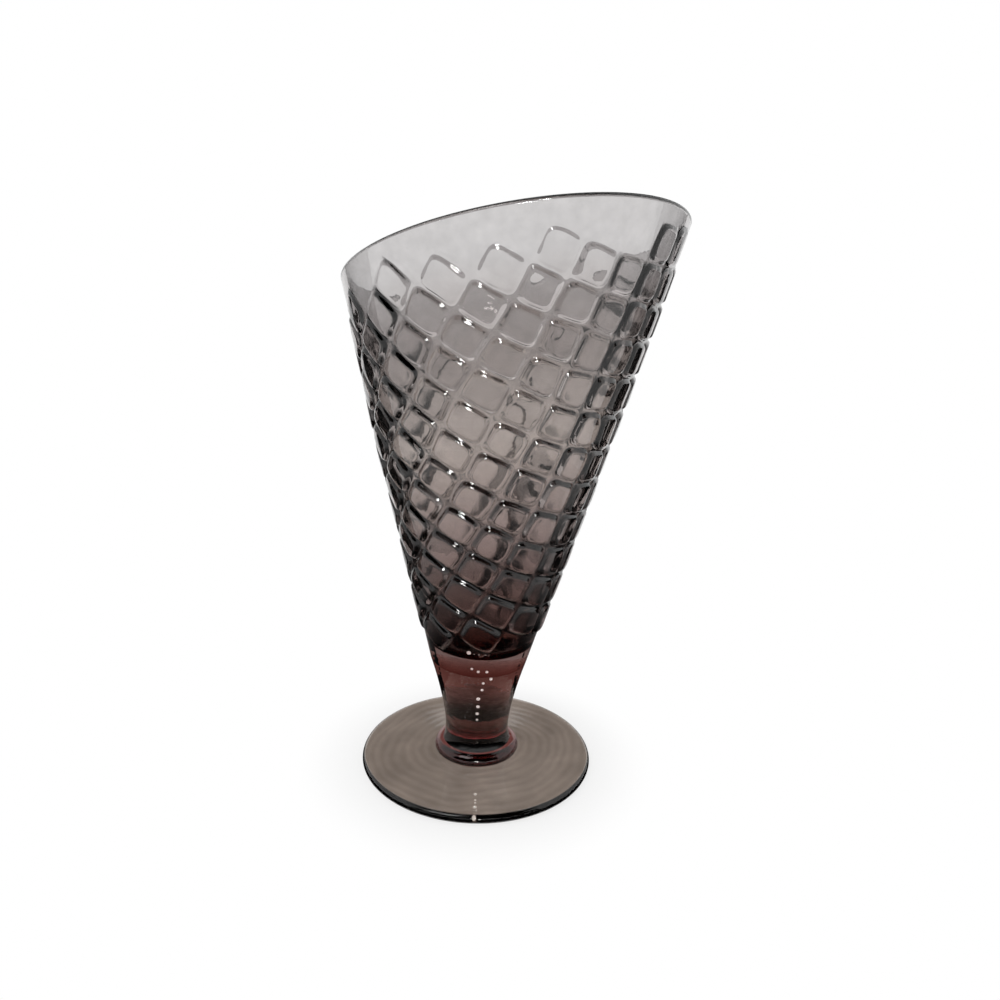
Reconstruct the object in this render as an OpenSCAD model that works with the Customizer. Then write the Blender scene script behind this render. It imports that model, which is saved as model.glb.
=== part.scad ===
// Ice cream dish in mauve glass: a waffle-cone bowl with a slanted rim on a solid stem,
// a collar and a round foot, hot-welded to each other.
// Millimetres, +Z up, origin at the centre of the face that the dish stands on.
// The side that faces the viewer is -Y.

/* [Foot] */
// Diameter of the foot
foot_d = 75; // [60:1:90]
// Thickness of the foot at its rounded edge
foot_edge_t = 3.2; // [2.4:0.1:5]
// Rise of the foot's top from its edge to the collar
foot_rise = 1.2; // [0.4:0.1:4]
// Depth of the shallow hollow under the foot
foot_hollow = 0.6; // [0.2:0.1:1.2]
// Width of the flat ring under the foot that the dish stands on
rest_ring_w = 6; // [3:0.5:15]

/* [Collar] */
// Diameter of the collar, the flattened button of glass under the stem
collar_d = 27.4; // [26:0.2:40]
// Height of the collar
collar_h = 4; // [3:0.1:6]

/* [Stem] */
// Diameter of the stem where it spreads onto the collar
stem_end_d = 22; // [20.6:0.2:22]
// Diameter of the stem's neck, its thinnest place
neck_d = 20.4; // [16:0.2:20.4]
// Height of the neck above the collar
neck_rise = 4.6; // [3:0.1:8]
// Height of the weld between stem and bowl above the table
weld_z = 38; // [30:0.5:50]
// How late the stem swells from the neck to the bowl, 1 for a straight taper
stem_swell = 1.5; // [1:0.01:2]

/* [Bowl] */
// Diameter of the bowl at its weld to the stem
bowl_base_d = 31; // [27:0.1:36]
// Angle between the bowl's wall and its axis
cone_angle = 14.5; // [12:0.25:18]
// Lean of the bowl towards +X, left from the making by hand
lean = 2; // [0:0.1:3]
// Wall of the bowl at its lip
wall = 2; // [1.6:0.1:3]
// Wall of the bowl just over the floor of its hollow
base_wall = 4; // [2:0.1:5]
// Solid glass under the hollow
floor_t = 5; // [3:0.5:8]
// Radius of the rounding where the hollow's floor meets the wall
floor_round = 6; // [3:0.5:8]
// Height of the rim's middle above the weld, along the bowl's axis
rim_mid = 124.8; // [100:0.2:140]
// Slant of the rim
rim_slant = 22.3; // [5:0.1:25]
// Direction of the rim's high side, turned from +X
rim_turn = -60; // [-90:1:-30]

/* [Waffle] */
// Distance between grooves
pitch = 10.75; // [9:0.05:13]
// Height of a full pillow over the grooves round it
pillow_h = 1; // [0.4:0.05:1.5]
// Share of that height that the pillows have at the weld
base_share = 0.2; // [0.1:0.05:1]
// Length of wall above the weld along which the pillows grow to their full height
grow_len = 70; // [20:1:120]
// Width of the sloping edge of a pillow
pillow_edge_w = 2.1; // [1.2:0.1:3]
// Width of a groove along its bottom
groove_w = 1; // [0.6:0.1:2]
// Direction of the groove that runs straight up the wall, turned from +X
waffle_turn = -4; // [-20:1:20]
// Distance from the tip of the cone to the corner of the rolled sheet
sheet_start = 3.6; // [0:0.1:8]
// Least bare lip between the corner of a pillow and the rim
lip_min = 3.5; // [3:0.1:8]
// Least bare wall between the weld and the corner of a pillow
base_min = 6; // [4:0.5:12]

/* [Hidden] */
$fn = 96;

foot_top = foot_edge_t + foot_rise;
collar_top = foot_top + collar_h;
neck_z = collar_top + neck_rise;
weld_d = bowl_base_d;

// The steps in which curves are drawn
stem_steps = 14;
rim_steps = 4;
round_steps = 3;

// The bowl is drawn in its own frame, with the tip of its cone at the origin and its axis on Z.
// A place on its wall is u and v on the flat sheet of waffle that is rolled into the cone.
// The quarter of the sheet between the u and v axes goes once round the cone, so that the
// square grid meets itself along the seam.
tip_to_weld = weld_d / 2 / tan(cone_angle);
weld_slant = tip_to_weld / cos(cone_angle);
rim_on_axis = tip_to_weld + rim_mid;

// A place on the wall, by its distance from the tip, its turn and its lift off the cone
function wall_point(slant, turn, lift) =
    let (r = slant * sin(cone_angle) + lift * cos(cone_angle))
    [r * cos(turn), r * sin(turn), slant * cos(cone_angle) - lift * sin(cone_angle)];
function turn_of(u, v) = waffle_turn - 4 * atan2(v, u);
function slant_of(u, v) = sheet_start + norm([u, v]);
function sheet_point(u, v, lift) =
    u == 0 && v > 0 ? sheet_point(v, 0, lift) : wall_point(slant_of(u, v), turn_of(u, v), lift);

// Distance from the tip to the rim along the wall
function rim_slant_at(turn) =
    rim_on_axis / (cos(cone_angle) - tan(rim_slant) * sin(cone_angle) * cos(turn - rim_turn));

// Cells of the grid, one for each pillow, are counted from the sheet's corner.
function is_under_lip(i, j) =
    slant_of(pitch * (i + 1), pitch * (j + 1)) + lip_min <= rim_slant_at(turn_of(i + 1, j + 1));
function is_over_base(i, j) = slant_of(pitch * i, pitch * j) >= weld_slant + base_min;

// Where the cells of a row end under the lip, and where they start over the base.
// No row is longer than the row before it, so that the border has no overhang.
function row_end(j, i = 0) = is_under_lip(i, j) ? row_end(j, i + 1) : i;
function row_start(j, i = 0) = is_over_base(i, j) ? i : row_start(j, i + 1);
function column_end(j = 0) = is_under_lip(0, j) ? column_end(j + 1) : j;
reach = max(row_end(0), column_end());
row_ends = [for (j = 0, end = row_end(0); j <= reach; end = min(end, row_end(j + 1)), j = j + 1) end];
row_starts = [for (j = [0:reach]) row_start(j)];
function has_pillow(i, j) = i < row_ends[j] && is_over_base(i, j);

// Lines across the sheet: both edges of every groove, and the pillows' tops beside it
groove_half = groove_w / 2;
top_half = groove_half + pillow_edge_w;
groove_edges = [-top_half, -groove_half, groove_half, top_half];
lines = [0, groove_half, top_half, for (n = [1:reach], edge = groove_edges) n * pitch + edge];
last_line = len(lines) - 1;

// A pillow rises between the grooves round its cell, to less than its full height low on the bowl.
in_groove = groove_half * 1.001;
function is_clear(x) = abs(x - pitch * round(x / pitch)) > in_groove;
function is_raised(u, v) = is_clear(u) && is_clear(v) && has_pillow(floor(u / pitch), floor(v / pitch));
function height_at(slant) =
    pillow_h * min(1, base_share + (1 - base_share) * (slant - weld_slant) / grow_len);
function grid_point(a, b) =
    let (u = lines[a])
    let (v = lines[b])
    sheet_point(u, v, is_raised(u, v) ? height_at(slant_of(u, v)) : 0);
grid = [for (a = [0:last_line]) [for (b = [0:last_line]) grid_point(a, b)]];

// First and last u line of the waffle between the v lines b and b + 1
function strip_start(b) =
    let (cells = row_starts[floor((b + 1) / 4)])
    cells == 0 ? 0 : 4 * cells - 1;
function strip_end(b) =
    b >= last_line ? 0 :
    b < 2 ? last_line :
    4 * row_ends[floor((b - 2) / 4)] + 2;
start_line = strip_start(0);

// The waffle's stepped borders, once round the cone, as pairs of line numbers
function step_back(from, to, b) = [for (a = [from:-1:to + 1]) [a, b]];
upper_border = [
    for (b = [0:last_line - 1])
        each concat([[strip_end(b), b]], step_back(strip_end(b), strip_end(b + 1), b + 1))
];
lower_border = [
    for (b = [0:start_line - 1])
        each concat([[strip_start(b), b]], step_back(strip_start(b), strip_start(b + 1), b + 1))
];
function border_turns(border) = [for (g = border) turn_of(lines[g[0]], lines[g[1]])];
function border_points(border) = [for (g = border) grid[g[0]][g[1]]];
upper_turns = border_turns(upper_border);
lower_turns = border_turns(lower_border);

// The rounded rim, from the outside over the top to the inside
function rim_ring(k) =
    let (swing = 180 * k / rim_steps)
    [for (turn = upper_turns)
        wall_point(rim_slant_at(turn) - wall / 2 * (1 - sin(swing)), turn, -wall / 2 * (1 - cos(swing)))];

// The rounding between the hollow's wall and its floor
floor_z = tip_to_weld + floor_t;
round_z = floor_z + floor_round;
round_r = round_z * tan(cone_angle) - (base_wall + floor_round) / cos(cone_angle);
function floor_ring(k) =
    let (swing = cone_angle + (90 - cone_angle) * k / round_steps)
    let (r = round_r + floor_round * cos(swing))
    [for (turn = upper_turns) [r * cos(turn), r * sin(turn), round_z - floor_round * sin(swing)]];

// Tiles of the bowl's skin, each with its corners clockwise as seen from outside
waffle_tiles = [
    for (b = [0:last_line - 1], a = [strip_start(b):1:strip_end(b) - 1])
        [grid[a][b], grid[a][b + 1], grid[a + 1][b + 1], grid[a + 1][b]]
];
function band(low, high) =
    [for (k = [0:len(low) - 1])
        let (next = (k + 1) % len(low))
        [low[k], low[next], high[next], high[k]]];
function fan(ring, centre) =
    [for (k = [0:len(ring) - 1]) [ring[k], ring[(k + 1) % len(ring)], centre]];
function reversed(tile) = [for (k = [len(tile) - 1:-1:0]) tile[k]];

weld_ring = [for (turn = lower_turns) wall_point(weld_slant, turn, 0)];
skin = concat(
    [for (tile = fan(weld_ring, [0, 0, tip_to_weld])) reversed(tile)],
    band(weld_ring, border_points(lower_border)),
    waffle_tiles,
    band(border_points(upper_border), rim_ring(0)),
    [for (k = [0:rim_steps - 1]) each band(rim_ring(k), rim_ring(k + 1))],
    band(rim_ring(rim_steps), floor_ring(0)),
    [for (k = [0:round_steps - 1]) each band(floor_ring(k), floor_ring(k + 1))],
    fan(floor_ring(round_steps), [0, 0, floor_z])
);
skin_points = [for (tile = skin) each tile];
tile_starts = [for (k = 0, n = 0; k < len(skin); n = n + len(skin[k]), k = k + 1) n];
skin_faces = [for (k = [0:len(skin) - 1]) [for (c = [0:len(skin[k]) - 1]) tile_starts[k] + c]];

// Puts a shape drawn on the weld, with the bowl's axis on Z, in its place on the stem
module on_weld() {
    translate([0, 0, weld_z]) rotate([0, lean, 0]) children();
}

module waffle_bowl() {
    color([0.6, 0.57, 0.56, 0.6])
        on_weld() translate([0, 0, -tip_to_weld]) polyhedron(skin_points, skin_faces, convexity = 10);
}

// Radius of the stem, which spreads a little under the neck and swells above it
function stem_r(z) =
    z < neck_z
        ? neck_d / 2 + (stem_end_d - neck_d) / 2 * pow((neck_z - z) / neck_rise, 2)
        : neck_d / 2 + (weld_d - neck_d) / 2 * pow((z - neck_z) / (weld_z - neck_z), stem_swell);

module stem() {
    spare = 1 + weld_d * sin(lean);
    top_z = weld_z + spare;
    heights = [for (k = [0:stem_steps]) collar_top + (top_z - collar_top) * k / stem_steps];
    outline = [for (z = heights) [stem_r(z), z]];
    color([0.42, 0.25, 0.24, 0.8])
        difference() {
            rotate_extrude() polygon(concat([[0, collar_top]], outline, [[0, top_z]]));
            on_weld() cylinder(h = 2 * spare, r = weld_d);
        }
}

module collar() {
    edge_r = collar_h / 2;
    color([0.45, 0.23, 0.22, 0.8]) {
        translate([0, 0, foot_top]) cylinder(h = collar_h, d = collar_d - collar_h);
        translate([0, 0, foot_top + edge_r])
            rotate_extrude() translate([collar_d / 2 - edge_r, 0]) circle(r = edge_r);
    }
}

module foot() {
    edge_r = foot_edge_t / 2;
    edge_at = foot_d / 2 - edge_r;
    underside = [[0, foot_hollow], [edge_at - rest_ring_w, 0], [edge_at, 0]];
    topside = [[edge_at, foot_edge_t], [collar_d / 2, foot_top], [0, foot_top]];
    color([0.5, 0.46, 0.43, 0.6]) {
        rotate_extrude() polygon(concat(underside, topside));
        translate([0, 0, edge_r]) rotate_extrude() translate([edge_at, 0]) circle(r = edge_r);
    }
}

waffle_bowl();
stem();
collar();
foot();
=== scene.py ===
"""A blown glass ice cream dish: a slant cut waffle bowl on a rosy stem, a collar and a round foot."""

import logging
import math
from dataclasses import dataclass, field
from enum import Enum
from typing import Callable

import bmesh
import bpy
from bmesh.types import BMEdge, BMesh, BMFace, BMVert
from bpy.types import Material, Node, NodeSocket, NodeTree, Object
from mathutils import Matrix, Vector, noise


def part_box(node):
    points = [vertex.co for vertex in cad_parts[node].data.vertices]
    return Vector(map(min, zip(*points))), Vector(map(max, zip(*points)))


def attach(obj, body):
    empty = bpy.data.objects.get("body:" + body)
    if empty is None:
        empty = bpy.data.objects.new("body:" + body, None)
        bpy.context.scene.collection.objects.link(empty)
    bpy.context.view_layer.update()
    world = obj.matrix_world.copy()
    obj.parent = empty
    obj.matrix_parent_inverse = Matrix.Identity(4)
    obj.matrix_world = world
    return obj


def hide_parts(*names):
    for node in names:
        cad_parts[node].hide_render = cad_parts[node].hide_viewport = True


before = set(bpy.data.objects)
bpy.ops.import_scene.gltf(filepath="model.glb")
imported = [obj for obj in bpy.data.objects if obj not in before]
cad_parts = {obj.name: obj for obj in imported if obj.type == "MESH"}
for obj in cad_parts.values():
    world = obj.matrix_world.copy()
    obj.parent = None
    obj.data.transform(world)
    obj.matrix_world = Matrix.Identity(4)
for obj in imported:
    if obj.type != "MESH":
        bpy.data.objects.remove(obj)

LOG = logging.getLogger("dish")
MM = 0.001
BEND = "bend"
# Mesh attribute with the painted shade in the grooves of the bowl.
GROOVE_SHADE = "groove_shade"
GLASS_BEND = 1.5
NO_BEND = 1.0
WELD_GAP = 0.02
MERGE_GAP = 1e-4
BUBBLE_CUTS = 3

Colour = tuple[float, float, float]
Place = tuple[float, float, float]
Span = tuple[float, float]
Profile = list[Span]


class CadNode(Enum):
    """The solids of the frame that the glass pieces stand for."""

    BOWL = "waffle_bowl"
    STEM = "stem"
    COLLAR = "collar"
    FOOT = "foot"


class GlassSlot(Enum):
    """The material slots of the record."""

    BOWL = "bowl_glass"
    STEM = "stem_glass"
    COLLAR = "collar_glass"
    FOOT = "foot_glass"


@dataclass(frozen=True)
class Tone:
    """The tint of the glass at a height along the piece, in millimetres; on the bowl it also carries painted
    shade.
    """

    height: float
    colour: Colour


@dataclass(frozen=True)
class Bubble:
    """A glowing white speck in the glass, in millimetres: in the stem and the bowl a bubble of air drawn as
    a painted glint, in the foot a painted reflection of the glints above.
    """

    x: float
    y: float
    z: float
    radius: float


def tune(node: Node, values: dict[str, float | tuple[float, ...]]) -> None:
    """Set inputs of a node.

    Args:
        node: The node.
        values: The value of each input, by its name.
    """
    for name, value in values.items():
        node.inputs[name].default_value = value


@dataclass(frozen=True)
class GlassFinish:
    """Tinted blown glass, with the faint ripple and the turned rings of hand work."""

    name: str
    tones: tuple[Tone, ...]
    soak: Colour
    soak_density: float
    climb: Vector = Vector((0.0, 0.0, 1.0))
    drift: float = 0.25
    ripple_scale: float = 60.0
    ripple_height: float = 0.05
    ripple_detail: float = 2.0
    ring_height: float = 0.0
    # Darkens the tint along the turned rings: painted shade.
    ring_shade: float = 0.0
    # Darkens the tint in the grooves: painted shade.
    groove_shade: float = 0.0
    mottle: float = 0.0
    mottle_scale: float = 260.0
    dull: float = 0.012
    ring_scale: float = 100.0
    ring_twist: float = 14.0
    ring_detail: float = 3.0
    ring_grain: float = 0.25
    blotch_scale: float = 30.0
    noise_detail: float = 4.0
    mottle_span: Span = (0.3, 0.7)

    def material(self) -> Material:
        """Make the node material.

        Returns:
            The finished material.
        """
        mat = bpy.data.materials.new(self.name)
        mat.use_nodes = True
        tree = mat.node_tree
        tree.nodes.clear()
        shader = tree.nodes.new("ShaderNodeBsdfPrincipled")
        tune(shader, {"Transmission Weight": 1.0, "IOR": GLASS_BEND, "Roughness": self.dull})
        where = tree.nodes.new("ShaderNodeTexCoord").outputs["Object"]
        rings = self._rings(tree, where)
        self._colour(tree, shader, where, rings)
        self._ripple(tree, shader, where, rings)
        bend = tree.nodes.new("ShaderNodeAttribute")
        bend.attribute_name = BEND
        tree.links.new(bend.outputs["Fac"], shader.inputs["IOR"])
        soak = tree.nodes.new("ShaderNodeVolumeAbsorption")
        tune(soak, {"Color": (*self.soak, 1.0), "Density": self.soak_density})
        out = tree.nodes.new("ShaderNodeOutputMaterial")
        tree.links.new(shader.outputs["BSDF"], out.inputs["Surface"])
        tree.links.new(soak.outputs["Volume"], out.inputs["Volume"])
        return mat

    def _rings(self, tree: NodeTree, where: NodeSocket) -> NodeSocket:
        """Add the rings that a turning tool leaves round the axis.

        Args:
            tree: The material's nodes.
            where: The place on the piece.

        Returns:
            The socket with the strength of the rings.
        """
        rings = tree.nodes.new("ShaderNodeTexWave")
        rings.wave_type = "RINGS"
        rings.rings_direction = "Z"
        settings = {
            "Scale": self.ring_scale,
            "Distortion": self.ring_twist,
            "Detail": self.ring_detail,
            "Detail Scale": self.ring_grain,
        }
        tune(rings, settings)
        tree.links.new(where, rings.inputs["Vector"])
        return rings.outputs["Fac"]

    def _colour(self, tree: NodeTree, shader: Node, where: NodeSocket, rings: NodeSocket) -> None:
        """Let the tint change with the height and drift a little, and darken it as painted shade along the
        rings and in the grooves.

        Args:
            tree: The material's nodes.
            shader: The glass shader.
            where: The place on the piece.
            rings: The strength of the turned rings.
        """
        low, high = self.tones[0].height, self.tones[-1].height
        along = tree.nodes.new("ShaderNodeVectorMath")
        along.operation = "DOT_PRODUCT"
        along.inputs[1].default_value = self.climb
        tree.links.new(where, along.inputs[0])
        climb = tree.nodes.new("ShaderNodeMapRange")
        tune(climb, {"From Min": low * MM, "From Max": high * MM})
        tree.links.new(along.outputs["Value"], climb.inputs["Value"])
        blotch = tree.nodes.new("ShaderNodeTexNoise")
        tune(blotch, {"Scale": self.blotch_scale, "Detail": self.noise_detail})
        tree.links.new(where, blotch.inputs["Vector"])
        shift = tree.nodes.new("ShaderNodeMapRange")
        tune(shift, {"To Min": -self.drift, "To Max": self.drift})
        tree.links.new(blotch.outputs["Fac"], shift.inputs["Value"])
        place = tree.nodes.new("ShaderNodeMath")
        place.operation = "ADD"
        tree.links.new(climb.outputs["Result"], place.inputs[0])
        tree.links.new(shift.outputs["Result"], place.inputs[1])
        # Painted shade: the tint darkens along the turned rings.
        if self.ring_shade > 0.0:
            mark = tree.nodes.new("ShaderNodeMath")
            mark.operation = "MULTIPLY_ADD"
            mark.inputs[1].default_value = -self.ring_shade
            tree.links.new(rings, mark.inputs[0])
            tree.links.new(place.outputs["Value"], mark.inputs[2])
            place = mark
        ramp = tree.nodes.new("ShaderNodeValToRGB")
        stops = ramp.color_ramp.elements
        for tone in self.tones[1:-1]:
            stops.new((tone.height - low) / (high - low))
        for stop, tone in zip(stops, self.tones):
            stop.color = (*tone.colour, 1.0)
        tree.links.new(place.outputs["Value"], ramp.inputs["Fac"])
        tint = ramp.outputs["Color"]
        if self.mottle > 0.0:
            tint = self._mottled(tree, tint, where)
        # Painted shade in the grooves.
        if self.groove_shade > 0.0:
            tint = self._groove_shaded(tree, tint)
        tree.links.new(tint, shader.inputs["Base Color"])

    def _mottled(self, tree: NodeTree, tint: NodeSocket, where: NodeSocket) -> NodeSocket:
        """Let the tint vary in patches, as in hand-mixed glass.

        Args:
            tree: The material's nodes.
            tint: The tint of the glass.
            where: The place on the piece.

        Returns:
            The socket with the mottled tint.
        """
        grain = tree.nodes.new("ShaderNodeTexNoise")
        tune(grain, {"Scale": self.mottle_scale, "Detail": self.noise_detail})
        tree.links.new(where, grain.inputs["Vector"])
        left = tree.nodes.new("ShaderNodeMapRange")
        settings = {
            "From Min": self.mottle_span[0],
            "From Max": self.mottle_span[1],
            "To Min": 1.0 - self.mottle,
            "To Max": 1.0 + self.mottle,
        }
        tune(left, settings)
        tree.links.new(grain.outputs["Fac"], left.inputs["Value"])
        return self._scaled(tree, tint, left.outputs["Result"])

    def _groove_shaded(self, tree: NodeTree, tint: NodeSocket) -> NodeSocket:
        """Darken the tint in the grooves: painted shade, not a tint of the glass.

        Args:
            tree: The material's nodes.
            tint: The tint of the glass.

        Returns:
            The socket with the tint darkened by the painted shade.
        """
        groove = tree.nodes.new("ShaderNodeAttribute")
        groove.attribute_name = GROOVE_SHADE
        left = tree.nodes.new("ShaderNodeMapRange")
        tune(left, {"To Min": 1.0, "To Max": 1.0 - self.groove_shade})
        tree.links.new(groove.outputs["Fac"], left.inputs["Value"])
        return self._scaled(tree, tint, left.outputs["Result"])

    def _scaled(self, tree: NodeTree, tint: NodeSocket, factor: NodeSocket) -> NodeSocket:
        """Multiply a tint by a factor.

        Args:
            tree: The material's nodes.
            tint: The tint.
            factor: The factor.

        Returns:
            The socket with the product.
        """
        scale = tree.nodes.new("ShaderNodeVectorMath")
        scale.operation = "SCALE"
        tree.links.new(tint, scale.inputs["Vector"])
        tree.links.new(factor, scale.inputs["Scale"])
        return scale.outputs["Vector"]

    def _ripple(self, tree: NodeTree, shader: Node, where: NodeSocket, rings: NodeSocket) -> None:
        """Add the waviness that blowing leaves, and the turned rings.

        Args:
            tree: The material's nodes.
            shader: The glass shader.
            where: The place on the piece.
            rings: The strength of the turned rings.
        """
        wave = tree.nodes.new("ShaderNodeTexNoise")
        tune(wave, {"Scale": self.ripple_scale, "Detail": self.ripple_detail})
        tree.links.new(where, wave.inputs["Vector"])
        bump = tree.nodes.new("ShaderNodeBump")
        tune(bump, {"Strength": 1.0, "Distance": self.ripple_height * MM})
        tree.links.new(wave.outputs["Fac"], bump.inputs["Height"])
        if self.ring_height > 0.0:
            turned = tree.nodes.new("ShaderNodeBump")
            tune(turned, {"Strength": 1.0, "Distance": self.ring_height * MM})
            tree.links.new(rings, turned.inputs["Height"])
            tree.links.new(bump.outputs["Normal"], turned.inputs["Normal"])
            bump = turned
        tree.links.new(bump.outputs["Normal"], shader.inputs["Normal"])


@dataclass(frozen=True)
class GlintBubbleSkin:
    """The silvery skin of a trapped bubble, drawn white and glowing: a painted glint, with a painted glow
    though it is no lamp.
    """

    name: str = "glint_bubble_skin"
    glint_white: Colour = (0.98, 0.96, 0.94)
    dim: Colour = (0.75, 0.68, 0.66)
    dull: float = 0.35
    glow: float = 0.5
    cloud_scale: float = 900.0
    cloud_top: float = 0.55

    def material(self) -> Material:
        """Make the node material.

        Returns:
            The finished material.
        """
        mat = bpy.data.materials.new(self.name)
        mat.use_nodes = True
        tree = mat.node_tree
        shader = tree.nodes["Principled BSDF"]
        # Painted light: the white glow makes the bubble shine like a glint, though it is no lamp.
        settings = {
            "Roughness": self.dull,
            "IOR": NO_BEND,
            "Emission Color": (*self.glint_white, 1.0),
            "Emission Strength": self.glow,
        }
        tune(shader, settings)
        where = tree.nodes.new("ShaderNodeTexCoord").outputs["Object"]
        cloud = tree.nodes.new("ShaderNodeTexNoise")
        cloud.inputs["Scale"].default_value = self.cloud_scale
        tree.links.new(where, cloud.inputs["Vector"])
        ramp = tree.nodes.new("ShaderNodeValToRGB")
        low, high = ramp.color_ramp.elements
        low.color = (*self.dim, 1.0)
        high.color = (*self.glint_white, 1.0)
        high.position = self.cloud_top
        tree.links.new(cloud.outputs["Fac"], ramp.inputs["Fac"])
        tree.links.new(ramp.outputs["Color"], shader.inputs["Base Color"])
        return mat


def arc(centre: Span, radius: float, start: float, end: float, steps: int) -> Profile:
    """Points on an arc of a profile.

    Args:
        centre: Distance from the axis, and height, of the arc's centre.
        radius: Radius of the arc.
        start: First angle in degrees, counted up from the outward direction.
        end: Last angle in degrees.
        steps: The number of steps.

    Returns:
        The points, both ends included.
    """
    turns = [math.radians(start + (end - start) * k / steps) for k in range(steps + 1)]
    return [(centre[0] + radius * math.cos(a), centre[1] + radius * math.sin(a)) for a in turns]


def ease(low: float, high: float, value: float) -> float:
    """Smooth step from 0 at low to 1 at high.

    Args:
        low: Where the step starts.
        high: Where the step ends.
        value: The place on it.

    Returns:
        The eased share from 0 to 1.
    """
    t = min(1.0, max(0.0, (value - low) / (high - low)))
    return t * t * (3.0 - 2.0 * t)


@dataclass
class GlassPiece:
    """What every glass piece shares: a mesh in place of its solid, bubbles and a finish."""

    node: CadNode
    slot: GlassSlot
    finish: GlassFinish
    bubbles: tuple[Bubble, ...] = ()

    def spin(self, profile: Profile, steps: int) -> BMesh:
        """Turn a half profile round the Z axis.

        Args:
            profile: Points (radius, height) in millimetres, from pole to pole.
            steps: The number of steps in the full turn.

        Returns:
            The spun mesh, in millimetres.
        """
        bm = bmesh.new()
        verts = [bm.verts.new((r, 0.0, z)) for r, z in profile]
        edges = [bm.edges.new(pair) for pair in zip(verts, verts[1:])]
        bmesh.ops.spin(
            bm,
            geom=verts + edges,
            cent=(0.0, 0.0, 0.0),
            axis=(0.0, 0.0, 1.0),
            dvec=(0.0, 0.0, 0.0),
            angle=math.tau,
            steps=steps,
            use_merge=True,
        )
        bmesh.ops.remove_doubles(bm, verts=bm.verts[:], dist=MERGE_GAP)
        bmesh.ops.recalc_face_normals(bm, faces=bm.faces[:])
        return bm

    def mark(self, bm: BMesh, is_weld: Callable[[BMFace], bool]) -> None:
        """Note how much each face bends light: not at all on a weld, as glass elsewhere.

        Args:
            bm: The shaped mesh, in millimetres.
            is_weld: Says whether a face lies on a weld.
        """
        layer = bm.faces.layers.float.new(BEND)
        for face in bm.faces:
            on_weld = is_weld(face)
            face[layer] = NO_BEND if on_weld else GLASS_BEND
            face.smooth = not on_weld
        for edge in bm.edges:
            edge.smooth = len({face[layer] for face in edge.link_faces}) == 1

    def blow(self, bm: BMesh) -> None:
        """Add the bubbles, which take the second material.

        Args:
            bm: The marked mesh, in millimetres.
        """
        for bubble in self.bubbles:
            place = Matrix.Translation((bubble.x, bubble.y, bubble.z))
            made = bmesh.ops.create_icosphere(
                bm, subdivisions=BUBBLE_CUTS, radius=bubble.radius, matrix=place
            )
            for face in {face for vert in made["verts"] for face in vert.link_faces}:
                face.material_index = 1
                face.smooth = True

    def cast(self, bm: BMesh) -> Object:
        """Make the object from its mesh.

        Args:
            bm: The shaped mesh, in millimetres, which is freed.

        Returns:
            The object, in metres.
        """
        bmesh.ops.scale(bm, vec=(MM, MM, MM), verts=bm.verts[:])
        name = self.node.value + "_glass"
        mesh = bpy.data.meshes.new(name)
        bm.to_mesh(mesh)
        bm.free()
        piece = bpy.data.objects.new(name, mesh)
        bpy.context.scene.collection.objects.link(piece)
        LOG.info("%s: %d faces", piece.name, len(mesh.polygons))
        return piece

    def dress(self, piece: Object) -> None:
        """Give the piece its glass and its place in the frame.

        Args:
            piece: The built piece.
        """
        piece.data.materials.append(self.finish.material())
        if self.bubbles:
            piece.data.materials.append(GlintBubbleSkin().material())
        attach(piece, "root")
        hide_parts(self.node.value)


@dataclass
class Cone:
    """The leaning cone that the bowl is blown on, in millimetres, with its tip at the origin."""

    angle: float = 14.45
    lean: float = 2.0
    base_d: float = 31.0
    weld_z: float = 38.0
    rim_mid: float = 124.75
    rim_slant: float = 22.3
    rim_turn: float = -60.0

    @property
    def half(self) -> float:
        """The half angle in radians."""
        return math.radians(self.angle)

    @property
    def tip_to_weld(self) -> float:
        """Height of the weld over the tip."""
        return self.base_d / 2 / math.tan(self.half)

    @property
    def weld_slant(self) -> float:
        """Slant length from the tip to the weld."""
        return self.tip_to_weld / math.cos(self.half)

    def rim_at(self, turn: float) -> float:
        """Slant length from the tip to the slanted rim.

        Args:
            turn: Turn round the cone in radians.

        Returns:
            The slant length.
        """
        tilt = math.tan(math.radians(self.rim_slant)) * math.sin(self.half)
        swing = math.cos(turn - math.radians(self.rim_turn))
        return (self.tip_to_weld + self.rim_mid) / (math.cos(self.half) - tilt * swing)

    def point(self, slant: float, lift: float) -> Span:
        """A profile point at a slant length, lifted square to the wall.

        Args:
            slant: Length along the wall from the tip.
            lift: Height over the wall, outwards.

        Returns:
            The radius and the height over the tip.
        """
        s, c = math.sin(self.half), math.cos(self.half)
        return slant * s + lift * c, slant * c - lift * s

    def rim_normal(self) -> Vector:
        """The direction square to the slanted rim of the leaning cone.

        Returns:
            The direction, of length 1.
        """
        swing = math.radians(self.rim_turn)
        tilt = math.tan(math.radians(self.rim_slant))
        normal = Vector((-tilt * math.cos(swing), -tilt * math.sin(swing), 1.0)).normalized()
        return Matrix.Rotation(math.radians(self.lean), 3, "Y") @ normal

    def placed(self) -> Matrix:
        """The move that sets the cone, leaning, on the stem.

        Returns:
            The move.
        """
        lean = Matrix.Rotation(math.radians(self.lean), 4, "Y")
        down = Matrix.Translation((0.0, 0.0, -self.tip_to_weld))
        return Matrix.Translation((0.0, 0.0, self.weld_z)) @ lean @ down


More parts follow.
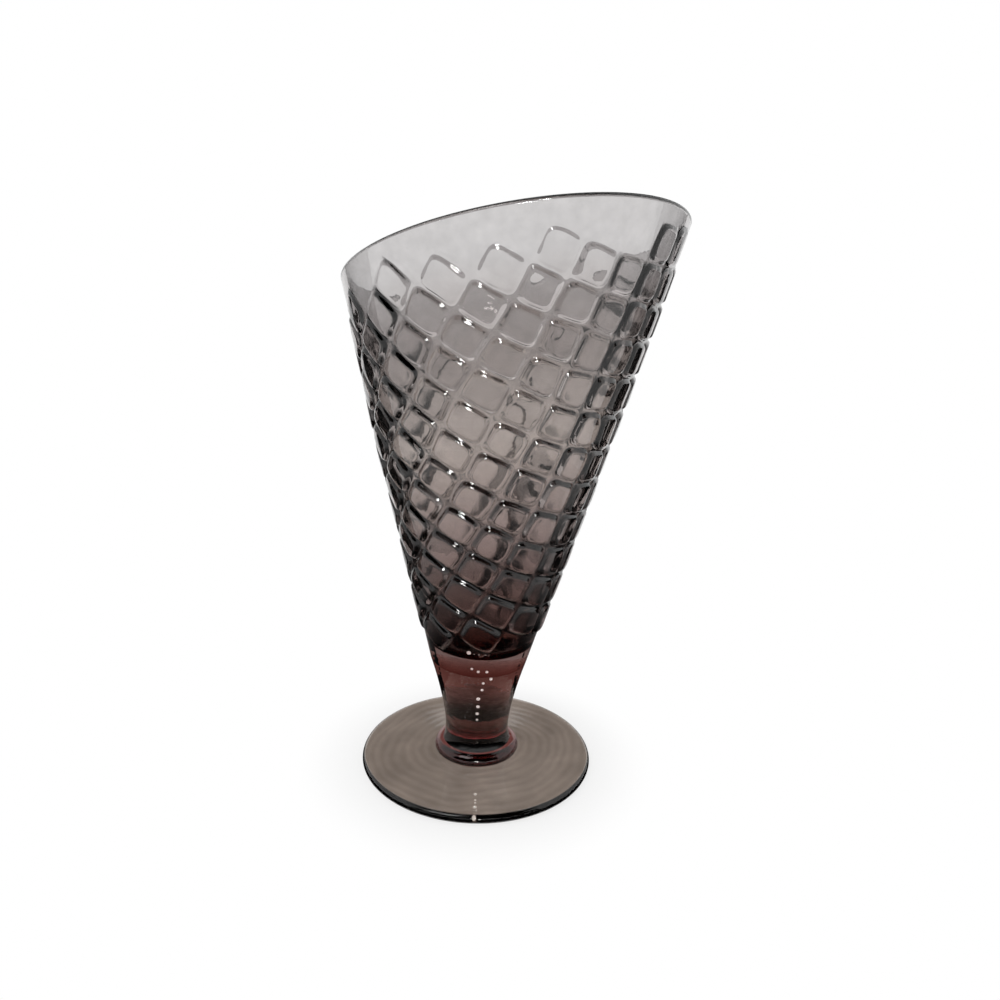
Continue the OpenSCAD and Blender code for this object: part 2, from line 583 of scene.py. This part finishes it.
@dataclass
class WaffleSheet:
    """Rows of square pillows with grooves between them, on a quarter of a plane rolled into the cone."""

    cone: Cone
    pitch: float = 10.75
    turn: float = -6.0
    start: float = 3.5
    pull: float = 4.0
    pull_turn: float = 180.0
    pillow_h: float = 1.25
    base_share: float = 0.75
    grow_len: float = 50.0
    lip_share: float = 0.5
    fade_len: float = 55.0
    flank: Span = (0.02, 0.25)
    corner: float = 4.5
    # The next five say where the painted shade in the grooves lies.
    groove_shade_reach: Span = (0.08, 0.36)
    groove_shade_span: Span = (40.0, 90.0)
    groove_shade_side: Span = (0.4, 0.66)
    cross_groove_shade: float = 0.5
    crossing: float = 0.2
    dome: float = 0.2
    swell: float = 0.25
    lip_min: float = 3.5
    base_min: float = 6.0
    wander: float = 0.6
    wander_length: float = 17.0
    wobble: float = 0.35
    wobble_length: float = 5.5
    seed: int = 7
    lines_per_cell: int = 16
    line_spread: float = 0.5
    spare_cells: float = 1.5
    seam_gap: float = 1e-3
    sectors: float = 4.0
    cells: dict[tuple[int, int], bool] = field(default_factory=dict)

    def slant_of(self, u: float, v: float) -> float:
        """Slant length from the cone's tip to a point of the sheet, which hand work pulled askew.

        Args:
            u: Place on the flat sheet.
            v: Place on the flat sheet.

        Returns:
            The slant length.
        """
        askew = self.pull * math.cos(self.turn_of(u, v) - math.radians(self.pull_turn))
        return self.start + math.hypot(u, v) + askew

    def turn_of(self, u: float, v: float) -> float:
        """Turn round the cone of a point of the sheet.

        Args:
            u: Place on the flat sheet.
            v: Place on the flat sheet.

        Returns:
            The turn in radians.
        """
        return math.radians(self.turn) - self.sectors * math.atan2(v, u)

    def has_pillow(self, i: int, j: int) -> bool:
        """Whether this cell of the grid has a pillow.

        Args:
            i: Column of the cell, counted from the cone's tip.
            j: Row of the cell.

        Returns:
            True where the cell lies clear of the lip and of the base.
        """
        if (i, j) not in self.cells:
            far = self.pitch * (i + 1), self.pitch * (j + 1)
            under_lip = self.slant_of(*far) + self.lip_min <= self.cone.rim_at(self.turn_of(*far))
            near = self.slant_of(self.pitch * i, self.pitch * j)
            self.cells[i, j] = under_lip and near >= self.cone.weld_slant + self.base_min
        return self.cells[i, j]

    def grid_line(self, at: float) -> float:
        """Draw an even grid line in towards the nearest groove.

        Args:
            at: Place of the even line, in pitches.

        Returns:
            The line's place in millimetres.
        """
        groove = round(at)
        away = 2.0 * (at - groove)
        return self.pitch * (groove + away * (self.line_spread + (1.0 - self.line_spread) * away * away) / 2)

    def inset(self, u: float, v: float) -> float | None:
        """How far a point lies in from the border of its pillow.

        Args:
            u: Place on the flat sheet.
            v: Place on the flat sheet.

        Returns:
            1 in the middle and 0 on the border, less in the round corners, or None on the bare wall.
        """
        i, j = math.floor(u / self.pitch), math.floor(v / self.pitch)
        if i < 0 or j < 0 or not self.has_pillow(i, j):
            return None
        across, along = abs(2.0 * (u / self.pitch - i) - 1.0), abs(2.0 * (v / self.pitch - j) - 1.0)
        return 1.0 - (across**self.corner + along**self.corner) ** (1.0 / self.corner)

    def relief(self, u: float, v: float) -> float:
        """Height of the relief over the wall.

        Args:
            u: Place on the flat sheet.
            v: Place on the flat sheet.

        Returns:
            The height in millimetres.
        """
        inset = self.inset(u, v)
        if inset is None:
            return 0.0
        slant = self.slant_of(u, v)
        climbed = (slant - self.cone.weld_slant) / self.grow_len
        grown = min(1.0, self.base_share + (1.0 - self.base_share) * climbed)
        under = ease(0.0, self.fade_len, self.cone.rim_at(self.turn_of(u, v)) - slant)
        height = self.pillow_h * grown * (self.lip_share + (1.0 - self.lip_share) * under)
        return height * (1.0 - self.dome * (1.0 - inset) ** 2) * ease(*self.flank, inset)

    def groove_shade(self, u: float, v: float) -> float:
        """How deep the painted shade in the grooves is: low down in all grooves, and most in those that fall
        to the right.

        Higher up it lies in the rising grooves on the right and in the falling ones on the left.

        Args:
            u: Place on the flat sheet.
            v: Place on the flat sheet.

        Returns:
            Up to 1 in the grooves, and 0 on the pillows and on the bare wall.
        """
        inset = self.inset(u, v)
        if inset is None:
            return 0.0
        climbed = ease(*self.groove_shade_span, self.slant_of(u, v) - self.cone.weld_slant)
        side = math.cos(self.turn_of(u, v))
        rising = self.cross_groove_shade + (ease(*self.groove_shade_side, side) - self.cross_groove_shade) * climbed
        falling = 1.0 + (ease(*self.groove_shade_side, -side) - 1.0) * climbed
        across, along = (abs(2.0 * (at / self.pitch % 1.0) - 1.0) for at in (u, v))
        way = ease(-self.crossing, self.crossing, across - along)
        return (rising + (falling - rising) * way) * (1.0 - ease(*self.groove_shade_reach, inset))

    def roll(self, u: float, v: float) -> Vector:
        """Roll a point of the flat sheet up onto the cone.

        Args:
            u: Place on the flat sheet.
            v: Place on the flat sheet.

        Returns:
            The point, lifted by the relief, with the cone's tip at the origin.
        """
        slant = self.slant_of(u, v)
        turn = self.turn_of(u, v)
        r, z = self.cone.point(slant, 0.0)
        flat = Vector((r * math.cos(turn), r * math.sin(turn), z))
        drift = noise.noise_vector(flat / self.wander_length)
        shake = noise.noise_vector(flat / self.wobble_length)
        slant += self.wander * drift.x + self.wobble * shake.x
        turn += (self.wander * drift.y + self.wobble * shake.y) / r
        r, z = self.cone.point(slant, self.relief(u, v) * (1.0 + self.swell * drift.z))
        return Vector((r * math.cos(turn), r * math.sin(turn), z))

    def mesh(self) -> BMesh:
        """The rolled sheet, past the rim and past the base, with its seam closed.

        Returns:
            The open mesh in millimetres.
        """
        reach = self.cone.rim_at(math.radians(self.cone.rim_turn)) + self.pitch
        across = math.ceil(reach / self.pitch)
        noise.seed_set(self.seed)
        bm = bmesh.new()
        segments = across * self.lines_per_cell
        bmesh.ops.create_grid(bm, x_segments=segments, y_segments=segments, size=across / 2)
        bmesh.ops.translate(bm, vec=(across / 2, across / 2, 0.0), verts=bm.verts[:])
        for vert in bm.verts:
            vert.co.x = self.grid_line(vert.co.x)
            vert.co.y = self.grid_line(vert.co.y)
        start = self.cone.weld_slant - self.spare_cells * self.pitch
        spare = [vert for vert in bm.verts if not start < vert.co.length < reach]
        bmesh.ops.delete(bm, geom=spare, context="VERTS")
        # Keep the painted shade of the grooves on each vertex.
        groove_shade = bm.verts.layers.float.new(GROOVE_SHADE)
        for vert in bm.verts:
            vert[groove_shade] = self.groove_shade(vert.co.x, vert.co.y)
            vert.co = self.roll(vert.co.x, vert.co.y)
        bmesh.ops.remove_doubles(bm, verts=bm.verts[:], dist=self.seam_gap)
        return bm


@dataclass
class WaffleBowl(GlassPiece):
    """The hollow bowl: a smooth cone inside, the waffle outside, a round slanted rim."""

    cone: Cone = field(default_factory=Cone)
    lip_wall: float = 2.0
    base_wall: float = 4.0
    floor_t: float = 5.0
    floor_round: float = 6.0
    floor_steps: int = 8
    rim_steps: int = 8
    rim_merge: float = 0.15
    inner_rows: int = 20

    def build(self) -> Object:
        """Cut the waffle sheet to the rim and the base, and line it with the smooth inner wall.

        Returns:
            The bowl.
        """
        cone = self.cone
        bm = WaffleSheet(cone).mesh()
        self._trim(bm)
        self._line(bm)
        self._close_base(bm)
        bmesh.ops.recalc_face_normals(bm, faces=bm.faces[:])
        move = cone.placed()
        bmesh.ops.transform(bm, matrix=move, verts=bm.verts[:])
        axis = move.to_3x3() @ Vector((0.0, 0.0, 1.0))
        foot = Vector((0.0, 0.0, cone.weld_z))
        self.mark(bm, lambda face: (face.calc_center_median() - foot).dot(axis) < 2 * WELD_GAP)
        self.blow(bm)
        return self.cast(bm)

    def _trim(self, bm: BMesh) -> None:
        """Cut the sheet along the slanted rim and along the weld.

        Args:
            bm: The rolled sheet.
        """
        cone = self.cone
        swing = math.radians(cone.rim_turn)
        tilt = math.tan(math.radians(cone.rim_slant))
        rim_z = cone.tip_to_weld + cone.rim_mid - self.lip_wall / 2 * math.cos(cone.half)
        cuts = (
            (rim_z, (-tilt * math.cos(swing), -tilt * math.sin(swing), 1.0)),
            (cone.tip_to_weld + WELD_GAP, (0.0, 0.0, -1.0)),
        )
        for height, outwards in cuts:
            bmesh.ops.bisect_plane(
                bm,
                geom=bm.verts[:] + bm.edges[:] + bm.faces[:],
                plane_co=(0.0, 0.0, height),
                plane_no=outwards,
                clear_outer=True,
            )
        edge_verts = [vert for vert in bm.verts if vert.is_boundary]
        bmesh.ops.remove_doubles(bm, verts=edge_verts, dist=self.rim_merge)

    def _open_loop(self, bm: BMesh, high: bool) -> list[BMEdge]:
        """The open edges of the rim or of the base.

        Args:
            bm: The sheet.
            high: True for the rim.

        Returns:
            The edges of that loop.
        """
        middle = self.cone.tip_to_weld + self.cone.rim_mid / 4
        return [edge for edge in bm.edges if edge.is_boundary and (edge.verts[0].co.z > middle) == high]

    def _ring(self, bm: BMesh, loop: list[BMEdge], place: Callable[[float], Span]) -> list[BMEdge]:
        """Extrude a loop to a new ring round the axis.

        Args:
            bm: The mesh.
            loop: The open edges to extrude.
            place: Gives the new radius and height for a turn.

        Returns:
            The new open edges.
        """
        made = bmesh.ops.extrude_edge_only(bm, edges=loop)["geom"]
        for vert in (item for item in made if isinstance(item, BMVert)):
            turn = math.atan2(vert.co.y, vert.co.x)
            r, z = place(turn)
            vert.co = (r * math.cos(turn), r * math.sin(turn), z)
        return [item for item in made if isinstance(item, BMEdge) and item.is_boundary]

    def _close(self, bm: BMesh, loop: list[BMEdge], height: float) -> None:
        """Draw a loop together into one point on the axis.

        Args:
            bm: The mesh.
            loop: The open edges to close.
            height: Height of the point over the cone's tip.
        """
        made = bmesh.ops.extrude_edge_only(bm, edges=loop)["geom"]
        ring = [item for item in made if isinstance(item, BMVert)]
        bmesh.ops.pointmerge(bm, verts=ring, merge_co=(0.0, 0.0, height))

    def _line(self, bm: BMesh) -> None:
        """Round the rim over and draw the inner wall and the floor down from it.

        Args:
            bm: The trimmed sheet.
        """
        cone = self.cone
        half = self.lip_wall / 2
        loop = self._open_loop(bm, high=True)
        for k in range(1, self.rim_steps):
            a = math.pi * k / self.rim_steps
            rise, inwards = half * (math.sin(a) - 1.0), half * (math.cos(a) - 1.0)
            loop = self._ring(bm, loop, lambda turn: cone.point(cone.rim_at(turn) + rise, inwards))
        floor_z = cone.tip_to_weld + self.floor_t
        sunk = self.floor_round * (1.0 - math.sin(cone.half)) - self.base_wall * math.sin(cone.half)
        end = (floor_z + sunk) / math.cos(cone.half)
        for k in range(self.inner_rows + 1):
            share = k / self.inner_rows
            wall = self.lip_wall + (self.base_wall - self.lip_wall) * share
            loop = self._ring(
                bm,
                loop,
                lambda turn: cone.point((cone.rim_at(turn) - half) * (1.0 - share) + end * share, -wall),
            )
        edge_r, _ = cone.point(end, -self.base_wall)
        middle = edge_r - self.floor_round * math.cos(cone.half), floor_z + self.floor_round
        for r, z in arc(middle, self.floor_round, -cone.angle, -90.0, self.floor_steps)[1:]:
            loop = self._ring(bm, loop, lambda turn: (r, z))
        self._close(bm, loop, floor_z)

    def _close_base(self, bm: BMesh) -> None:
        """Close the flat weld at the base.

        Args:
            bm: The lined bowl.
        """
        height = self.cone.tip_to_weld + WELD_GAP
        loop = self._open_loop(bm, high=False)
        loop = self._ring(bm, loop, lambda turn: (self.cone.base_d / 4, height))
        self._close(bm, loop, height)


@dataclass
class Stem(GlassPiece):
    """The solid stem: a narrow neck low down, swelling up to the bowl."""

    cone: Cone = field(default_factory=Cone)
    end_d: float = 22.0
    neck_d: float = 20.4
    neck_rise: float = 4.6
    swell: float = 1.5
    flat_from: float = 0.9
    rows: int = 60
    steps: int = 160

    def build(self) -> Object:
        """Spin the stem between the collar and the leaning bowl.

        Returns:
            The stem.
        """
        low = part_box(CadNode.COLLAR.value)[1].z / MM
        top = self.cone.weld_z
        first, last = low + WELD_GAP, top - WELD_GAP
        heights = [first + (last - first) * k / self.rows for k in range(self.rows + 1)]
        points = [(0.0, first)]
        points += [(self._radius(z, low), z) for z in heights]
        points.append((0.0, last))
        bm = self.spin(points, self.steps)
        lean = math.tan(math.radians(self.cone.lean))
        for vert in bm.verts:
            vert.co.z -= vert.co.x * lean * ease(low, top, vert.co.z)
        self.mark(bm, lambda face: abs(face.normal.z) > self.flat_from)
        self.blow(bm)
        return self.cast(bm)

    def _radius(self, z: float, low: float) -> float:
        """Radius of the stem at a height.

        Args:
            z: The height.
            low: Height of the stem's lower end.

        Returns:
            The radius.
        """
        neck = self.neck_d / 2
        neck_z = low + self.neck_rise
        if z < neck_z:
            return neck + (self.end_d / 2 - neck) * ((neck_z - z) / self.neck_rise) ** 2
        climbed = (z - neck_z) / (self.cone.weld_z - neck_z)
        return neck + (self.cone.base_d / 2 - neck) * climbed**self.swell


@dataclass
class Collar(GlassPiece):
    """The round collar that joins the stem to the foot."""

    top_r: float = 10.9
    under_steps: int = 8
    over_steps: int = 16
    steps: int = 160

    def build(self) -> Object:
        """Spin the collar with its round edge.

        Returns:
            The collar.
        """
        low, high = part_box(self.node.value)
        z0, z1 = low.z / MM + WELD_GAP, high.z / MM
        radius = high.x / MM
        reach = radius - self.top_r
        waist = z1 - reach
        points = [(0.0, z0), (radius / 2, z0)]
        points += arc((radius - waist + z0, waist), waist - z0, -90.0, 0.0, self.under_steps)
        points += arc((self.top_r, waist), reach, 0.0, 90.0, self.over_steps)[1:]
        points += [(radius / 2, z1), (0.0, z1)]
        bm = self.spin(points, self.steps)
        self.mark(bm, lambda face: face.calc_center_median().xy.length < self.top_r)
        return self.cast(bm)


@dataclass
class Foot(GlassPiece):
    """The round foot: a low dome above, a ring to stand on and a shallow hollow below."""

    edge_t: float = 3.2
    hollow: float = 0.6
    rest_ring_w: float = 6.0
    weld_r: float = 12.5
    swoop: float = 1.5
    flat_from: float = 0.999
    hollow_steps: int = 12
    nose_steps: int = 16
    top_steps: int = 24
    steps: int = 220

    def build(self) -> Object:
        """Spin the foot.

        Returns:
            The foot.
        """
        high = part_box(self.node.value)[1]
        radius, top = high.x / MM, high.z / MM
        nose = self.edge_t / 2
        flat = radius - nose
        inner = flat - self.rest_ring_w
        rise = top - self.edge_t
        last = self.hollow_steps
        points = [(inner * k / last, self.hollow * (1.0 - (k / last) ** 2)) for k in range(last + 1)]
        points += arc((flat, nose), nose, -90.0, 90.0, self.nose_steps)
        for k in range(1, self.top_steps + 1):
            share = k / self.top_steps
            points.append((flat + (self.weld_r - flat) * share, self.edge_t + rise * share**self.swoop))
        points.append((0.0, top))
        bm = self.spin(points, self.steps)
        self.mark(bm, self._on_weld)
        self.blow(bm)
        return self.cast(bm)

    def _on_weld(self, face: BMFace) -> bool:
        """Whether a face lies flat under the collar.

        Args:
            face: The face.

        Returns:
            True on the weld.
        """
        return face.normal.z > self.flat_from and face.calc_center_median().xy.length < self.weld_r


@dataclass(frozen=True)
class Lamp:
    """A square lamp: place and side in metres, watts, fan of light in degrees, height that it shines at."""

    name: str
    at: Place
    size: float
    power: float
    spread: float
    aim_z: float = 0.12


@dataclass
class Studio:
    """The pale floor, the soft light, the dark mats and cards round the glass, and the camera."""

    camera_at: Place = (0.0, -304.29, 194.01)
    pitch: float = 18.753
    pan: float = 1.004
    roll: float = -1.777
    focal_px: float = 1050.0
    image_px: float = 1000.0
    sensor: float = 36.0
    clip_start: float = 0.01
    lamps: tuple[Lamp, ...] = (
        Lamp("key", (-0.4, -0.5, 0.9), 0.5, 2.5, 180.0),
        Lamp("glint", (0.02, -0.7, 0.26), 0.2, 0.064, 15.0),
        Lamp("spark", (0.12, -0.6, 0.42), 0.08, 0.011, 14.0, 0.14),
    )
    world_light: float = 0.6
    floor_r: float = 3.0
    floor_z: float = -0.0003
    floor_sides: int = 64
    floor_paint: float = 0.9
    shade: float = 0.75
    shade_span: Span = (0.034, 0.06)
    felt_dark: float = 0.01
    # The next three shape the painted shadow of the ring mat.
    felt_shadow_pale: float = 0.9
    felt_shadow_span: Span = (0.05, 0.17)
    shadow_ring_reach: Span = (0.038, 0.17)
    side_reach: Span = (0.1, 0.9)
    side_turns: Span = (42.0, 80.0)
    side_rise: float = 0.0002
    mat_steps: int = 32

    def build(self) -> None:
        """Set up everything round the dish."""
        bpy.context.scene.view_settings.view_transform = "Standard"
        self._world()
        self._floor()
        for lamp in self.lamps:
            self._lamp(lamp)
        self._darks()
        self._camera()

    def _seen(self, tree: NodeTree) -> NodeSocket:
        """A value of 1 for rays from the camera, from a gloss or through the glass.

        Args:
            tree: The nodes to add to.

        Returns:
            The socket that holds the value.
        """
        path = tree.nodes.new("ShaderNodeLightPath")
        seen = path.outputs["Is Camera Ray"]
        for kind in ("Is Glossy Ray", "Is Transmission Ray"):
            add = tree.nodes.new("ShaderNodeMath")
            add.operation = "MAXIMUM"
            tree.links.new(seen, add.inputs[0])
            tree.links.new(path.outputs[kind], add.inputs[1])
            seen = add.outputs["Value"]
        return seen

    def _world(self) -> None:
        """White where it is seen, a plain grey where it lights."""
        world = bpy.data.worlds.new("studio")
        bpy.context.scene.world = world
        world.use_nodes = True
        tree = world.node_tree
        tree.nodes.clear()
        seen = tree.nodes.new("ShaderNodeBackground")
        seen.inputs["Color"].default_value = (1.0, 1.0, 1.0, 1.0)
        light = tree.nodes.new("ShaderNodeBackground")
        light.inputs["Color"].default_value = (*[self.world_light] * 3, 1.0)
        mix = tree.nodes.new("ShaderNodeMixShader")
        tree.links.new(self._seen(tree), mix.inputs["Fac"])
        tree.links.new(light.outputs["Background"], mix.inputs[1])
        tree.links.new(seen.outputs["Background"], mix.inputs[2])
        out = tree.nodes.new("ShaderNodeOutputWorld")
        tree.links.new(mix.outputs["Shader"], out.inputs["Surface"])

    def _floor(self) -> None:
        """A wide pale floor that keeps the shadow near the dish and runs out into the white."""
        bm = bmesh.new()
        bmesh.ops.create_circle(bm, cap_ends=True, segments=self.floor_sides, radius=self.floor_r)
        bmesh.ops.translate(bm, vec=(0.0, 0.0, self.floor_z), verts=bm.verts[:])
        floor = self._add("floor", bm)
        mat = bpy.data.materials.new("pale_floor")
        mat.use_nodes = True
        tree = mat.node_tree
        tree.nodes.clear()
        paint = tree.nodes.new("ShaderNodeBsdfDiffuse")
        paint.inputs["Color"].default_value = (*[self.floor_paint] * 3, 1.0)
        glow = tree.nodes.new("ShaderNodeEmission")
        share = tree.nodes.new("ShaderNodeMath")
        share.operation = "MULTIPLY"
        tree.links.new(self._seen(tree), share.inputs[0])
        tree.links.new(self._faded(tree, self.shade_span, (self.shade, 1.0)), share.inputs[1])
        mix = tree.nodes.new("ShaderNodeMixShader")
        tree.links.new(share.outputs["Value"], mix.inputs["Fac"])
        tree.links.new(paint.outputs["BSDF"], mix.inputs[1])
        tree.links.new(glow.outputs["Emission"], mix.inputs[2])
        out = tree.nodes.new("ShaderNodeOutputMaterial")
        tree.links.new(mix.outputs["Shader"], out.inputs["Surface"])
        floor.data.materials.append(mat)

    def _faded(self, tree: NodeTree, span: Span, ends: Span) -> NodeSocket:
        """A value that changes smoothly with the distance from the dish.

        Args:
            tree: The nodes to add to.
            span: Where the change starts and ends, in metres.
            ends: The value before and after it.

        Returns:
            The socket that holds the value.
        """
        away = tree.nodes.new("ShaderNodeVectorMath")
        away.operation = "LENGTH"
        tree.links.new(tree.nodes.new("ShaderNodeTexCoord").outputs["Object"], away.inputs[0])
        fade = tree.nodes.new("ShaderNodeMapRange")
        fade.interpolation_type = "SMOOTHSTEP"
        tune(fade, dict(zip(("From Min", "From Max", "To Min", "To Max"), (*span, *ends))))
        tree.links.new(away.outputs["Value"], fade.inputs["Value"])
        return fade.outputs["Result"]

    def _add(self, name: str, bm: BMesh) -> Object:
        """Add a studio object that is no part of the dish.

        Args:
            name: Its name.
            bm: Its mesh, which is freed.

        Returns:
            The object.
        """
        mesh = bpy.data.meshes.new(name)
        bm.to_mesh(mesh)
        bm.free()
        obj = bpy.data.objects.new(name, mesh)
        bpy.context.scene.collection.objects.link(obj)
        return obj

    def _lamp(self, lamp: Lamp) -> None:
        """Add a lamp that shines at the dish and isn't seen through it.

        Args:
            lamp: What it is like.
        """
        light = bpy.data.lights.new(lamp.name, "AREA")
        light.size = lamp.size
        light.energy = lamp.power
        light.spread = math.radians(lamp.spread)
        obj = bpy.data.objects.new(lamp.name, light)
        obj.location = lamp.at
        aim = Vector((0.0, 0.0, lamp.aim_z)) - obj.location
        obj.rotation_euler = aim.to_track_quat("-Z", "Y").to_euler()
        obj.visible_transmission = False
        bpy.context.scene.collection.objects.link(obj)

    def _darks(self) -> None:
        """Dark mats round the dish and dark cards in the air, which draw the dark lines in the glass; the
        ring mat is a painted shadow round the dish that only the glass shows.
        """
        dark = self._felt("dark_felt", self.felt_dark)
        shadow_mat_felt = self._felt("painted_shadow_felt", self.felt_shadow_pale)
        near, far = self.side_turns
        # Painted shadow: a ring mat, dark by the dish and paler away, seen only through the glass and in its
        # gloss.
        self._cover(self._mat("painted_shadow_ring", self.shadow_ring_reach, (0.0, 360.0)), shadow_mat_felt)
        self._cover(self._mat("mat_left", self.side_reach, (-far, -near), self.side_rise), dark)
        self._cover(self._mat("mat_right", self.side_reach, (near, far), self.side_rise), dark)
        self._cover(self._flag("flag_back", (0.0, 0.75, 0.65), (1.0, 0.6), 90.0), dark)
        self._cover(self._flag("flag_front", (0.0, -1.2, 1.1), (4.4, 1.6), 90.0), dark, False)
        self._cover(self._flag("flag_top", (0.0, -0.5, 1.7), (2.4, 1.4), 0.0), dark, False)

    def _cover(self, card: Object, felt: Material, through: bool = True) -> None:
        """Cover a mat or card with felt that only the glass shows.

        Args:
            card: The mat or card.
            felt: Its felt.
            through: Whether it is seen through the glass, and not only in its gloss.
        """
        card.data.materials.append(felt)
        card.visible_camera = False
        card.visible_diffuse = False
        card.visible_shadow = False
        card.visible_transmission = through

    def _felt(self, name: str, far: float) -> Material:
        """A dull felt, dark by the dish: on the ring mat this dark is a painted shadow.

        Args:
            name: Its name.
            far: How pale it gets away from the dish.

        Returns:
            The material.
        """
        mat = bpy.data.materials.new(name)
        mat.use_nodes = True
        tree = mat.node_tree
        tree.nodes.clear()
        felt = tree.nodes.new("ShaderNodeBsdfDiffuse")
        tree.links.new(self._faded(tree, self.felt_shadow_span, (self.felt_dark, far)), felt.inputs["Color"])
        out = tree.nodes.new("ShaderNodeOutputMaterial")
        tree.links.new(felt.outputs["BSDF"], out.inputs["Surface"])
        return mat

    def _mat(self, name: str, reach: Span, turns: Span, height: float = 0.0001) -> Object:
        """A mat on the floor, a part of a ring round the dish.

        Args:
            name: Its name.
            reach: Its inner and outer radius in metres.
            turns: Where it starts and ends, in degrees clockwise from straight behind the dish.
            height: How high it lies in metres.

        Returns:
            The mat.
        """
        bm = bmesh.new()
        verts = [bm.verts.new((0.0, y, height)) for y in reach]
        edges = [bm.edges.new(verts)]
        first, last = (math.radians(-turn) for turn in turns)
        bmesh.ops.rotate(bm, matrix=Matrix.Rotation(first, 3, "Z"), verts=verts)
        bmesh.ops.spin(
            bm,
            geom=verts + edges,
            cent=(0.0, 0.0, 0.0),
            axis=(0.0, 0.0, 1.0),
            dvec=(0.0, 0.0, 0.0),
            angle=last - first,
            steps=self.mat_steps,
            use_merge=turns[1] - turns[0] == 360.0,
        )
        return self._add(name, bm)

    def _flag(self, name: str, at: Place, size: Span, tilt: float) -> Object:
        """A dark card in the air.

        Args:
            name: Its name.
            at: Its middle in metres.
            size: Its width and height in metres.
            tilt: How far it is tipped up from lying flat, in degrees.

        Returns:
            The card.
        """
        bm = bmesh.new()
        bmesh.ops.create_grid(bm, x_segments=1, y_segments=1, size=0.5)
        bmesh.ops.scale(bm, vec=(*size, 1.0), verts=bm.verts[:])
        bmesh.ops.rotate(bm, matrix=Matrix.Rotation(math.radians(tilt), 3, "X"), verts=bm.verts[:])
        bmesh.ops.translate(bm, vec=at, verts=bm.verts[:])
        return self._add(name, bm)

    def _camera(self) -> None:
        """The camera where the photograph was taken from."""
        cam = bpy.data.cameras.new("camera")
        cam.sensor_width = self.sensor
        cam.lens = self.sensor * self.focal_px / self.image_px
        cam.clip_start = self.clip_start
        obj = bpy.data.objects.new("camera", cam)
        pan = Matrix.Rotation(-math.radians(self.pan), 4, "Z")
        pitch = Matrix.Rotation(math.radians(90.0 - self.pitch), 4, "X")
        roll = Matrix.Rotation(-math.radians(self.roll), 4, "Z")
        obj.matrix_world = Matrix.Translation(Vector(self.camera_at) * MM) @ pan @ pitch @ roll
        bpy.context.scene.collection.objects.link(obj)
        bpy.context.scene.camera = obj


CONE = Cone()
SMOKE = GlassFinish(
    "smoke_glass",
    (
        # The tint darkens low on the bowl and again below the lip; over the glass's own smoke tint, the dark
        # low band is painted shade.
        Tone(32.0, (0.76, 0.56, 0.53)),
        Tone(52.0, (0.44, 0.34, 0.32)),
        Tone(72.0, (0.62, 0.55, 0.53)),
        Tone(100.0, (0.74, 0.70, 0.67)),
        Tone(130.0, (0.52, 0.49, 0.48)),
        Tone(142.0, (0.64, 0.63, 0.63)),
        Tone(152.0, (0.66, 0.65, 0.65)),
    ),
    (0.28, 0.2, 0.19),
    65.0,
    CONE.rim_normal(),
    drift=0.03,
    ripple_height=0.11,
    ripple_detail=5.0,
    # Full painted shade in the grooves.
    groove_shade=1.0,
    mottle=0.08,
)
ROSE = GlassFinish(
    "rose_glass",
    (Tone(8.0, (0.88, 0.78, 0.76)), Tone(38.0, (0.92, 0.82, 0.80))),
    (0.46, 0.22, 0.18),
    155.0,
    ripple_scale=140.0,
    ripple_height=0.3,
    ripple_detail=3.0,
)
RUBY = GlassFinish(
    "ruby_glass",
    (Tone(4.0, (0.92, 0.52, 0.54)), Tone(8.5, (0.96, 0.60, 0.62))),
    (0.65, 0.06, 0.1),
    110.0,
)
TAUPE = GlassFinish(
    "taupe_glass",
    (Tone(0.0, (0.48, 0.42, 0.37)), Tone(4.5, (0.81, 0.74, 0.68))),
    (0.30, 0.22, 0.17),
    240.0,
    ring_height=0.006,
    drift=0.5,
    # Painted shade along the turned rings.
    ring_shade=0.4,
    mottle=0.16,
    mottle_scale=110.0,
    dull=0.08,
)
# Bubbles in the stem, drawn as glowing white specks: painted glints.
STEM_GLINT_BUBBLES = (
    Bubble(3.9, -13.6, 36.9, 0.5),
    Bubble(1.6, -13.4, 35.3, 0.45),
    Bubble(1.3, -12.6, 32.5, 0.45),
    Bubble(0.2, -11.7, 28.8, 0.6),
    Bubble(0.2, -11.0, 25.6, 0.55),
    Bubble(0.0, -10.3, 22.7, 0.5),
    Bubble(0.0, -9.7, 20.2, 0.35),
)
# Bubbles low in the bowl, drawn as glowing white specks: painted glints.
BOWL_GLINT_BUBBLES = (
    Bubble(-2.9, -16.4, 47.2, 0.65),
    Bubble(-1.9, -15.0, 41.0, 0.4),
    Bubble(0.0, -14.9, 40.0, 0.45),
    Bubble(2.6, -14.7, 39.9, 0.45),
)
# Glowing white specks in a row in the foot, where its top shows the glints above: a painted reflection, not
# bubbles.
FOOT_REFLECTION_SPECKS = (
    Bubble(0.05, -25.7, 2.5, 0.55),
    Bubble(0.1, -28.7, 2.5, 0.35),
    Bubble(0.1, -30.1, 2.5, 0.3),
    Bubble(0.0, -32.1, 2.4, 0.6),
    Bubble(-0.2, -36.0, 1.7, 0.6),
)


def main() -> None:
    """Build the dish from the foot up, then the studio."""
    logging.basicConfig(level=logging.INFO, format="%(name)s: %(message)s")
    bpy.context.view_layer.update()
    pieces = (
        Foot(CadNode.FOOT, GlassSlot.FOOT, TAUPE, FOOT_REFLECTION_SPECKS),
        Collar(CadNode.COLLAR, GlassSlot.COLLAR, RUBY),
        Stem(CadNode.STEM, GlassSlot.STEM, ROSE, STEM_GLINT_BUBBLES, CONE),
        WaffleBowl(CadNode.BOWL, GlassSlot.BOWL, SMOKE, BOWL_GLINT_BUBBLES, CONE),
    )
    for piece in pieces:
        piece.dress(piece.build())
    Studio().build()


if __name__ == "__main__":
    main()
